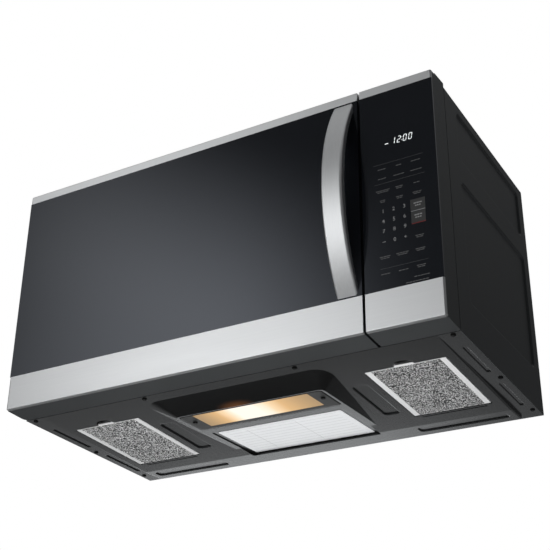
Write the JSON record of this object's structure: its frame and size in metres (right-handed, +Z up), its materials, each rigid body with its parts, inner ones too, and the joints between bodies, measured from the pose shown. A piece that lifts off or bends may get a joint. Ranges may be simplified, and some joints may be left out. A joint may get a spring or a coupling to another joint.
{
  "type": "over the range microwave",
  "caption": "Over the range microwave oven with a side-hinged glass door, bow handle, touch panel, turntable, vent blower and a formed base with lamp console and grease filters.",
  "frame": {"origin": "on the wall (rear) face at mid-width, level with the door's lower front edge", "axes": "+X to the viewer's right when facing the door, +Y into the wall, +Z up; the door faces -Y"},
  "size_m": [0.759, 0.4435, 0.4206],
  "materials": {
    "satin_steel": "satin stainless strip",
    "satin_handle": "satin stainless bar",
    "black_glass": "gloss black-backed safety glass",
    "charcoal_moulding": "fine matt charcoal moulding",
    "charcoal_sheet": "fine-texture charcoal powder coat",
    "pan_sheet": "satin charcoal powder coat",
    "galvanised": "galvanised sheet",
    "bright_screw": "zinc-plated steel",
    "black_screw": "black-oxide steel",
    "filter_aluminium": "bare aluminium",
    "lens_frosted": "frosted lens, lamp behind",
    "enamel": "light grey enamel",
    "clear_glass": "clear tempered glass",
    "smoked_pane": "clear inner pane",
    "perforated_steel": "black-painted perforated sheet",
    "inner_plastic": "black polypropylene",
    "white_nylon": "natural nylon",
    "mica": "mica sheet",
    "circuit_board": "glass-fibre board",
    "copper_winding": "lacquered copper wire",
    "core_steel": "laminated core",
    "bare_aluminium": "bare aluminium",
    "motor_steel": "zinc-coated steel",
    "carbon": "activated carbon in a net"
  },
  "bodies": {
    "cabinet": {"hinge_brackets": "galvanised", "hinge_pins": "bright_screw", "panel_frame": "charcoal_moulding", "panel_glass": "black_glass", "panel_top_trim": "satin_steel", "panel_bottom_trim": "satin_steel", "control_board": "circuit_board", "display_module": "inner_plastic", "outer_case": "charcoal_sheet", "outlet_cover": "charcoal_sheet", "top_grille": "inner_plastic", "rear_panel": "galvanised", "cord_bushing": "inner_plastic", "base_pan": "pan_sheet", "pan_screws": "black_screw", "lamp_plate": "pan_sheet", "lamp_lens": "lens_frosted", "cooktop_lamp": "motor_steel", "cavity_liner": "enamel", "waveguide_cover": "mica", "waveguide": "galvanised", "magnetron": "bare_aluminium", "turntable_motor": "motor_steel", "cavity_lamp": "white_nylon", "component_tray": "galvanised", "hv_transformer": "core_steel", "transformer_windings": "copper_winding", "hv_capacitor": "bare_aluminium", "cooling_fan_shroud": "inner_plastic", "latch_board": "white_nylon", "interlock_switches": "inner_plastic", "vent_motor": "motor_steel", "charcoal_filter": "carbon", "left_blower_housing": "galvanised", "right_blower_housing": "galvanised"},
    "door": {"door_frame": "charcoal_moulding", "door_glass": "black_glass", "door_top_trim": "satin_steel", "door_bottom_trim": "satin_steel", "door_screen": "perforated_steel", "door_inner_pane": "smoked_pane", "choke_cover": "charcoal_moulding", "door_handle": "satin_handle", "handle_screws": "bright_screw"},
    "latch": {"latch_hooks": "white_nylon"},
    "left_filter": {"left_filter_frame": "filter_aluminium", "left_filter_mesh": "filter_aluminium"},
    "right_filter": {"right_filter_frame": "filter_aluminium", "right_filter_mesh": "filter_aluminium"},
    "turntable": {"turntable_tray": "clear_glass", "turntable_coupler": "white_nylon"},
    "ring": {"roller_ring": "white_nylon"},
    "roller_a": {"roller_1": "white_nylon"},
    "roller_b": {"roller_2": "white_nylon"},
    "roller_c": {"roller_3": "white_nylon"},
    "blower": {"left_blower_wheel": "inner_plastic", "right_blower_wheel": "inner_plastic", "vent_shaft": "bright_screw"},
    "cooling_fan": {"cooling_fan_blade": "inner_plastic"},
    "plungers": {"switch_plungers": "white_nylon"}
  },
  "joints": [
    {"name": "door_hinge", "type": "hinge", "parent": "cabinet", "child": "door", "pos_m": [-0.3695, -0.36, 0.19], "axis": [0, 0, -1], "range_deg": [0, 95]},
    {"name": "latch_lift", "type": "slide", "parent": "door", "child": "latch", "axis": [0, 0, 1], "range_m": [0, 0.004], "stiffness_N_per_m": 400},
    {"name": "left_filter_drop", "type": "hinge", "parent": "cabinet", "child": "left_filter", "pos_m": [-0.2662, -0.10101, -0.01355], "axis": [1, 0, 0], "range_deg": [0, 60]},
    {"name": "right_filter_drop", "type": "hinge", "parent": "cabinet", "child": "right_filter", "pos_m": [0.2662, -0.10101, -0.01355], "axis": [1, 0, 0], "range_deg": [0, 60]},
    {"name": "turntable_spin", "type": "hinge", "parent": "cabinet", "child": "turntable", "pos_m": [-0.055, -0.17925, 0.042], "axis": [0, 0, 1], "continuous": true},
    {"name": "ring_spin", "type": "hinge", "parent": "cabinet", "child": "ring", "pos_m": [-0.055, -0.17925, 0.0493], "axis": [0, 0, 1], "continuous": true},
    {"name": "roller_a_roll", "type": "hinge", "parent": "ring", "child": "roller_a", "pos_m": [0.051, -0.17925, 0.0493], "axis": [1, 0, 0], "continuous": true},
    {"name": "roller_b_roll", "type": "hinge", "parent": "ring", "child": "roller_b", "pos_m": [-0.108, -0.08745, 0.0493], "axis": [-0.5, 0.866, 0], "continuous": true},
    {"name": "roller_c_roll", "type": "hinge", "parent": "ring", "child": "roller_c", "pos_m": [-0.108, -0.27105, 0.0493], "axis": [-0.5, -0.866, 0], "continuous": true},
    {"name": "blower_spin", "type": "hinge", "parent": "cabinet", "child": "blower", "pos_m": [0, -0.055, 0.347], "axis": [1, 0, 0], "continuous": true},
    {"name": "cooling_fan_spin", "type": "hinge", "parent": "cabinet", "child": "cooling_fan", "pos_m": [0.302, -0.03, 0.205], "axis": [0, 1, 0], "continuous": true},
    {"name": "plunger_press", "type": "slide", "parent": "cabinet", "child": "plungers", "axis": [0, 1, 0], "range_m": [0, 0.0012], "stiffness_N_per_m": 300}
  ],
  "couplings": [
    {"joint": "ring_spin", "follows": "turntable_spin", "ratio": 0.5},
    {"joint": "roller_a_roll", "follows": "turntable_spin", "ratio": -7.5714},
    {"joint": "roller_b_roll", "follows": "turntable_spin", "ratio": -7.5714},
    {"joint": "roller_c_roll", "follows": "turntable_spin", "ratio": -7.5714}
  ]
}
